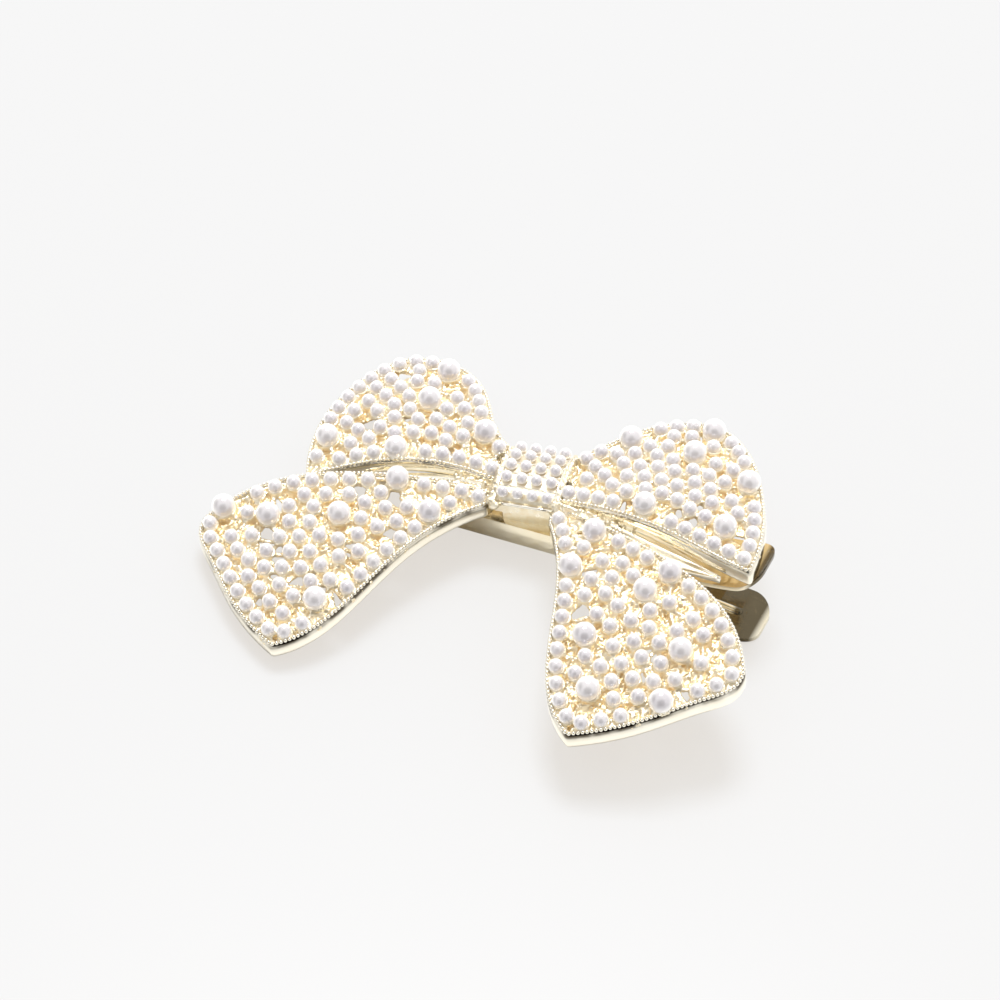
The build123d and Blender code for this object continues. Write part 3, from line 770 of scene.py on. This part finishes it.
def lattice_piece(lobe, material):
    """Nuggety openwork field: cups under the pearls, bars between them, thin skins in some gaps."""
    shape = Shape()
    add_cups(shape, lobe)
    spots, row = lattice_points(lobe)
    everything = [Vector(p) for p in spots + row]
    flat, _, triangles, *_ = delaunay_2d_cdt(everything, [], [], 0, 1e-5)
    add_bars(shape, lobe, flat, triangles)
    add_skins(shape, lobe, flat, triangles)
    add_border(shape, lobe)
    made = shape.to_object(lobe.name + "_field")
    outward_faces(made)
    skin = melt(made)
    below = lobe.radius - FIELD_DROP - np.linalg.norm(skin - np.array(lobe.centre), axis=1)
    # painted shade grows with the depth below the field's top
    store_painted_shade(made, np.clip((below + 0.1) / PAINTED_SHADE_FADE, 0, 1))
    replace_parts(place_in_row(made, material), lobe.name)


def add_bar(shape, lobe, start, end, length):
    """One bar of the lattice, bowed and uneven, with grains of metal on it."""
    samples = max(4, round(length / BAR_STEP))
    path, radii = [], []
    for i in range(samples + 1):
        share = i / samples
        x, y = start.lerp(end, share)
        wander = waver(Vector((x, y, 3.0)), BAR_WAVE, BAR_BOW * math.sin(math.pi * share))
        point = lobe.on_dome(x + wander.x, y + wander.y, FIELD_DROP + BAR_R)
        point.z += wander.z * 0.6
        path.append(point)
        radii.append(BAR_R * (0.95 + 0.45 * noise.noise(Vector((x, y, 9.0)) * 1.1)))
    up = lobe.outward(path[0])
    shape.bar(path, radii, up)
    for point in path[1:-1]:
        if random.random() < BAR_GRAINS:
            shift = random_offset(GRAIN_SHIFT, GRAIN_SHIFT, GRAIN_SHIFT)
            shift.z *= 0.4
            grain = random.uniform(*GRAIN_R)
            shape.ball(point + shift + up * BAR_R * 0.55, grain, sides=6, rings=4)


def crumple(spot):
    """How far the cast surface stands proud of a smooth one."""
    return sum(noise.noise(Vector(spot) * waves) * height for waves, height in CRUMPLE)


def melt(made):
    """Join the shapes into one cast skin with a slightly crumpled surface; returns its points."""
    remesh = made.modifiers.new("skin", "REMESH")
    remesh.mode = "VOXEL"
    remesh.voxel_size = VOXEL
    soften = made.modifiers.new("soften", "SMOOTH")
    soften.factor = 0.5
    soften.iterations = 2
    apply_modifiers(made)
    mesh = made.data
    count = len(mesh.vertices)
    spots = np.zeros(count * 3, np.float32)
    mesh.vertices.foreach_get("co", spots)
    spots = spots.reshape(-1, 3)
    directions = np.zeros(count * 3, np.float32)
    mesh.vertex_normals.foreach_get("vector", directions)
    directions = directions.reshape(-1, 3)
    push = np.array([crumple(spot) for spot in spots])
    spots = spots + directions * push[:, None]
    mesh.vertices.foreach_set("co", spots.astype(np.float32).ravel())
    mesh.update()
    return spots


def through(points, samples):
    """Smooth path through a few points (Catmull-Rom)."""
    run = [Vector(p) for p in points]
    run = [run[0] * 2 - run[1]] + run + [run[-1] * 2 - run[-2]]
    path = []
    for k in range(samples):
        at = k / (samples - 1) * (len(run) - 3)
        i = min(int(at), len(run) - 4)
        t = at - i
        a, b, c, d = run[i:i + 4]
        square = (2 * a - 5 * b + 4 * c - d) * t ** 2
        cube = (3 * b - a - 3 * c + d) * t ** 3
        path.append((2 * b + (c - a) * t + square + cube) / 2)
    return path


def ribbon_lines(side):
    """Stations of a ribbon: each a row of points from the loop's edge over a crown to the tail's."""
    under_loop = through(RIBBON_UNDER_LOOP[side], RIBBON_STATIONS)
    along_tail = through(RIBBON_ALONG_TAIL[side], RIBBON_STATIONS)
    lines = []
    for i, (high, low) in enumerate(zip(under_loop, along_tail)):
        share = i / (RIBBON_STATIONS - 1)
        line = []
        for k in range(RIBBON_POINTS):
            u = k / (RIBBON_POINTS - 1)
            bulge = math.sin(math.pi * u)
            point = high.lerp(low, u)
            point.z += RIBBON_CROWN * (1 - RIBBON_TAPER * share) * bulge ** 0.7
            turn = RIBBON_CREASES * u + RIBBON_DRIFT * share
            point.z += RIBBON_CREASE * math.sin(2 * math.pi * turn) * bulge
            line.append(point)
        lines.append(line)
    return lines


def folded_ribbon(side, material):
    """Smooth turned-under ribbon between a loop and the tail below it, creased towards the knot."""
    shape = Shape()
    sheet = Vector((0, 0, RIBBON_SHEET))
    shape.loft([line + [p - sheet for p in reversed(line)] for line in ribbon_lines(side)])
    made = shape.to_object(side + "_ribbon")
    store_painted_shade(made, [0.0] * len(shape.points))
    outward_faces(made)
    return place_in_row(made, material)


def neck_grains(side, material):
    """Nuggets of metal where a loop and its tail run together beside the knot."""
    shape = Shape()
    lines = ribbon_lines(side)
    strewn = NECK_REACH[side] * (len(lines) - 1)
    for _ in range(NECK_GRAINS):
        station = min(int(strewn * random.random() ** 1.3), len(lines) - 1)
        spot = random.choice(lines[station]).copy()
        spot.z += random.uniform(-0.15, 0.35)
        grain = random.uniform(*NECK_GRAIN_R)
        shape.ball(spot, grain, sides=7, rings=5, flat=random.uniform(0.6, 1.0))
    along, _ = knot_axes()
    sign = 1 if side == "right" else -1
    path, reach = knot_arch()
    for point in through(path, COLLAR_STATIONS):
        for _ in range(COLLAR_GRAINS):
            shift = random_offset((-0.25, 0.25), (-0.25, 0.25), (-0.25, 0.25))
            out = reach + random.uniform(0.0, COLLAR_WIDTH)
            beside = point + along * sign * out - Vector((0, 0, 0.25))
            shape.ball(beside + shift, random.uniform(*COLLAR_GRAIN_R), sides=7, rings=5)
    if side == "left":
        corner = path[0] - along * (reach + 0.3)
        for _ in range(SOLDER_GRAINS):
            shift = random_offset((-0.8, 0.8), (-0.7, 0.9), (-0.9, 0.5))
            shape.ball(corner + shift, random.uniform(*SOLDER_GRAIN_R), sides=8, rings=6, flat=0.8)
    made = shape.to_object(side + "_neck")
    outward_faces(made)
    store_painted_shade(made, [0.0] * len(melt(made)))
    return place_in_row(made, material)


def knot_axes():
    """Directions along and across the knot's rows of pearls."""
    along = Vector((math.cos(KNOT_TURN), math.sin(KNOT_TURN), 0))
    return along, Vector((-along.y, along.x, 0))


def knot_arch():
    """Feet of the knot's rows of pearls from front to back, and half the rows' length."""
    along, across = knot_axes()
    pearls = sorted(pearls_of("knot_pearls"), key=lambda item: item[0].dot(across))
    size = len(pearls) // KNOT_PEARL_ROWS
    rows = [[centre for centre, _ in pearls[i:i + size]] for i in range(0, len(pearls), size)]
    radius = pearls[0][1]
    middles = [sum(row, Vector((0, 0, 0))) / size for row in rows]
    reach = max(abs((p - middles[0]).dot(along)) for p in rows[0]) + radius + KNOT_MARGIN
    feet = []
    for i, middle in enumerate(middles):
        ahead = middles[min(i + 1, len(middles) - 1)] - middles[max(i - 1, 0)]
        feet.append(middle - along.cross(ahead).normalized() * radius * PEARL_FOOT)
    front = feet[0] - (feet[1] - feet[0]) * 0.5 - Vector((0, 0, 0.5))
    back = feet[-1] + (feet[-1] - feet[-2]) * 0.5 - Vector((0, 0, 0.5))
    return [front] + feet + [back], reach


def knot_ridges(material):
    """Fine ridges between the knot's rows of pearls, a bead round each of its ends and a rolled front lip."""
    along, across = knot_axes()
    path, reach = knot_arch()
    shape = Shape()
    for a, b in zip(path[1:-1], path[2:-1]):
        centre = (a + b) / 2 + Vector((0, 0, 0.08))
        ridge = [centre + along * reach * t for t in ALONG_ROW]
        shape.bar(ridge, [RIDGE_R] * len(ridge), Vector((0, 0, 1)))
    for end in (-1, 1):
        edge = through([p + along * end * (reach + 0.05) for p in path], END_BEAD_STATIONS)
        shape.bar(edge, [END_BEAD_R] * len(edge), Vector((1, 0, 0)), sides=10)
    front = path[0] - across * 0.12
    lip = [front + along * reach * t for t in ALONG_ROW]
    shape.bar(lip, [LIP_R] * len(lip), Vector((0, 0, 1)), sides=12)
    made = shape.to_object("knot_ridges")
    store_painted_shade(made, [0.0] * len(shape.points))
    outward_faces(made)
    return place_in_row(made, material)


def bent_sheet(node, material, body):
    """A clip half with its cut edges rounded, as stamped and tumbled sheet has them."""
    points, triangles = node_shape(node)
    shape = Shape()
    shape.add([Vector(p) for p in points], triangles.tolist())
    made = shape.to_object(node + "_sheet")
    work = bmesh.new()
    work.from_mesh(made.data)
    bmesh.ops.dissolve_degenerate(work, dist=1e-4, edges=work.edges)
    bmesh.ops.dissolve_limit(work, angle_limit=FLAT_ANGLE, verts=work.verts, edges=work.edges)
    sharp = [e for e in work.edges if e.is_manifold and e.calc_face_angle(0) > CUT_ANGLE]
    bmesh.ops.bevel(work, geom=sharp, offset=EDGE_ROUND, offset_type="OFFSET", segments=3, profile=0.5,
                    affect="EDGES", clamp_overlap=True)
    bmesh.ops.recalc_face_normals(work, faces=work.faces)
    work.to_mesh(made.data)
    work.free()
    place_in_row(made, material, body)
    made.data.set_sharp_from_angle(angle=SHADED_ANGLE)
    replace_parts(made, node)
    return made


# ---------------------------------------------------------------- stage
def camera_axes():
    """Right, up and backward directions of the camera in the row's frame."""
    azimuth, elevation, roll = (math.radians(a) for a in (CAMERA_AZIMUTH, CAMERA_ELEVATION, CAMERA_ROLL))
    back = Vector((math.sin(azimuth) * math.cos(elevation), -math.cos(azimuth) * math.cos(elevation),
                   math.sin(elevation)))
    right = Vector((math.cos(azimuth), math.sin(azimuth), 0))
    up = back.cross(right)
    turned = right * math.cos(roll) + up * math.sin(roll)
    return turned, back.cross(turned), back


def add_camera():
    """Long lens, well away, looking down on the bow from the front."""
    right, up, back = camera_axes()
    camera = bpy.data.objects.new("camera", bpy.data.cameras.new("camera"))
    camera.data.lens = CAMERA_LENS
    camera.data.sensor_width = 36.0
    camera.data.clip_start = 0.01
    where = BOW_TO_ROW @ AIM_AT + (back * CAMERA_DISTANCE - right * AIM_SHIFT[0] - up * AIM_SHIFT[1]) * MM
    camera.matrix_world = Matrix.Translation(where) @ Matrix((right, up, back)).transposed().to_4x4()
    bpy.context.scene.collection.objects.link(camera)
    bpy.context.scene.camera = camera


def add_floor():
    """Plain pale table top with a soft gloss, whose shadows look lifted to the camera."""
    size = FLOOR_HALF_SIZE
    mesh = bpy.data.meshes.new("floor")
    corners = [(-size, -size, 0), (size, -size, 0), (size, size, 0), (-size, size, 0)]
    mesh.from_pydata(corners, [], [(0, 1, 2, 3)])
    floor = bpy.data.objects.new("floor", mesh)
    bpy.context.scene.collection.objects.link(floor)
    material, tree, shader = new_material("table_top")
    cloud = add_noise(tree, 30.0)
    plain = blend_colours(tree, cloud.outputs["Fac"], *FLOOR_PAINT)
    ray = tree.nodes.new("ShaderNodeLightPath")
    seen = blend_colours(tree, ray.outputs["Is Camera Ray"], plain, FLOOR_COOL)
    tree.links.new(seen, shader.inputs["Base Color"])
    shader.inputs["Roughness"].default_value = 0.30
    shader.inputs["Specular IOR Level"].default_value = 0.5
    glow = tree.nodes.new("ShaderNodeEmission")
    glow.inputs["Color"].default_value = (*FLOOR_GLOW, 1)
    lifted = tree.nodes.new("ShaderNodeMixShader")
    share = remap(tree, ray.outputs["Is Camera Ray"], 0.0, FLOOR_LIFT, 0.0, 1.0)
    tree.links.new(share, lifted.inputs["Fac"])
    tree.links.new(shader.outputs[0], lifted.inputs[1])
    tree.links.new(glow.outputs[0], lifted.inputs[2])
    output = next(n for n in tree.nodes if n.type == "OUTPUT_MATERIAL")
    tree.links.new(lifted.outputs[0], output.inputs["Surface"])
    mesh.materials.append(material)


def add_softbox():
    """Large lamp high behind the object, aimed at it."""
    light = bpy.data.lights.new("overhead", "AREA")
    light.shape = "RECTANGLE"
    light.size, light.size_y = SOFTBOX_SIZE
    light.energy = SOFTBOX_POWER
    lamp = bpy.data.objects.new("overhead", light)
    lamp.location = SOFTBOX_AT
    lamp.rotation_euler = (-Vector(SOFTBOX_AT)).to_track_quat("-Z", "Y").to_euler()
    bpy.context.scene.collection.objects.link(lamp)


def toward(azimuth, elevation):
    """Direction from the object to a place in the room; azimuth 0 lies towards -Y, 90 towards +X."""
    a, e = math.radians(azimuth), math.radians(elevation)
    return Vector((math.sin(a) * math.cos(e), -math.cos(a) * math.cos(e), math.sin(e)))


def add_world():
    """Pale studio with darker stretches of room: one behind the camera and one on its left."""
    world = bpy.data.worlds.new("studio")
    world.use_nodes = True
    tree = world.node_tree
    tree.nodes.clear()
    place = tree.nodes.new("ShaderNodeTexCoord")
    brightness = None
    for direction, reach, darkness in DARK_PATCHES:
        dot = tree.nodes.new("ShaderNodeVectorMath")
        dot.operation = "DOT_PRODUCT"
        dot.inputs[1].default_value = toward(*direction)
        tree.links.new(place.outputs["Generated"], dot.inputs[0])
        edge = math.cos(math.radians(reach))
        core = math.cos(math.radians(reach * PATCH_CORE))
        shade = remap(tree, dot.outputs["Value"], WORLD_LIGHT, darkness, edge, core)
        if brightness is None:
            brightness = shade
        else:
            least = tree.nodes.new("ShaderNodeMath")
            least.operation = "MINIMUM"
            tree.links.new(brightness, least.inputs[0])
            tree.links.new(shade, least.inputs[1])
            brightness = least.outputs[0]
    glow = tree.nodes.new("ShaderNodeBackground")
    glow.inputs["Color"].default_value = (*ROOM_LIGHT, 1)
    tree.links.new(brightness, glow.inputs["Strength"])
    output = tree.nodes.new("ShaderNodeOutputWorld")
    tree.links.new(glow.outputs[0], output.inputs["Surface"])
    bpy.context.scene.world = world


def set_view():
    """How the light is turned into the picture's tones."""
    view = bpy.context.scene.view_settings
    view.view_transform = "Standard"
    view.gamma = VIEW_GAMMA


# ---------------------------------------------------------------- the whole
def dress_cad_nodes(materials):
    """Materials for the CAD nodes that stay."""
    for node, made in frame["nodes"].items():
        if node.endswith("pearls"):
            chosen = materials["pearl"]
        elif node in ("hinge_pin", "torsion_spring"):
            chosen = materials["wire"]
        elif node.endswith("jaw"):
            chosen = materials[node]
        else:
            chosen = materials["cast"]
        made.data.materials.clear()
        made.data.materials.append(chosen)


def main():
    materials = {"pearl": pearl_coat(), "wire": bright_wire(),
                 "upper_jaw": clip_steel("upper_lever_gold", UPPER_DARK_REFLECTION),
                 "lower_jaw": clip_steel("lower_lever_gold", LOWER_DARK_REFLECTION, BRIGHT_RIB),
                 "polished": polished_gold(), "cast": cast_gold()}
    dress_cad_nodes(materials)
    for name in LOBES:
        lobe = Lobe(name)
        rim_piece(lobe, materials["polished"])
        lattice_piece(lobe, materials["cast"])
    for side in ("left", "right"):
        folded_ribbon(side, materials["polished"])
        neck_grains(side, materials["cast"])
    knot_ridges(materials["polished"])
    bent_sheet("upper_jaw", materials["upper_jaw"], "upper_half")
    bent_sheet("lower_jaw", materials["lower_jaw"], "lower_half")
    add_floor()
    add_camera()
    add_world()
    add_softbox()
    set_view()


main()
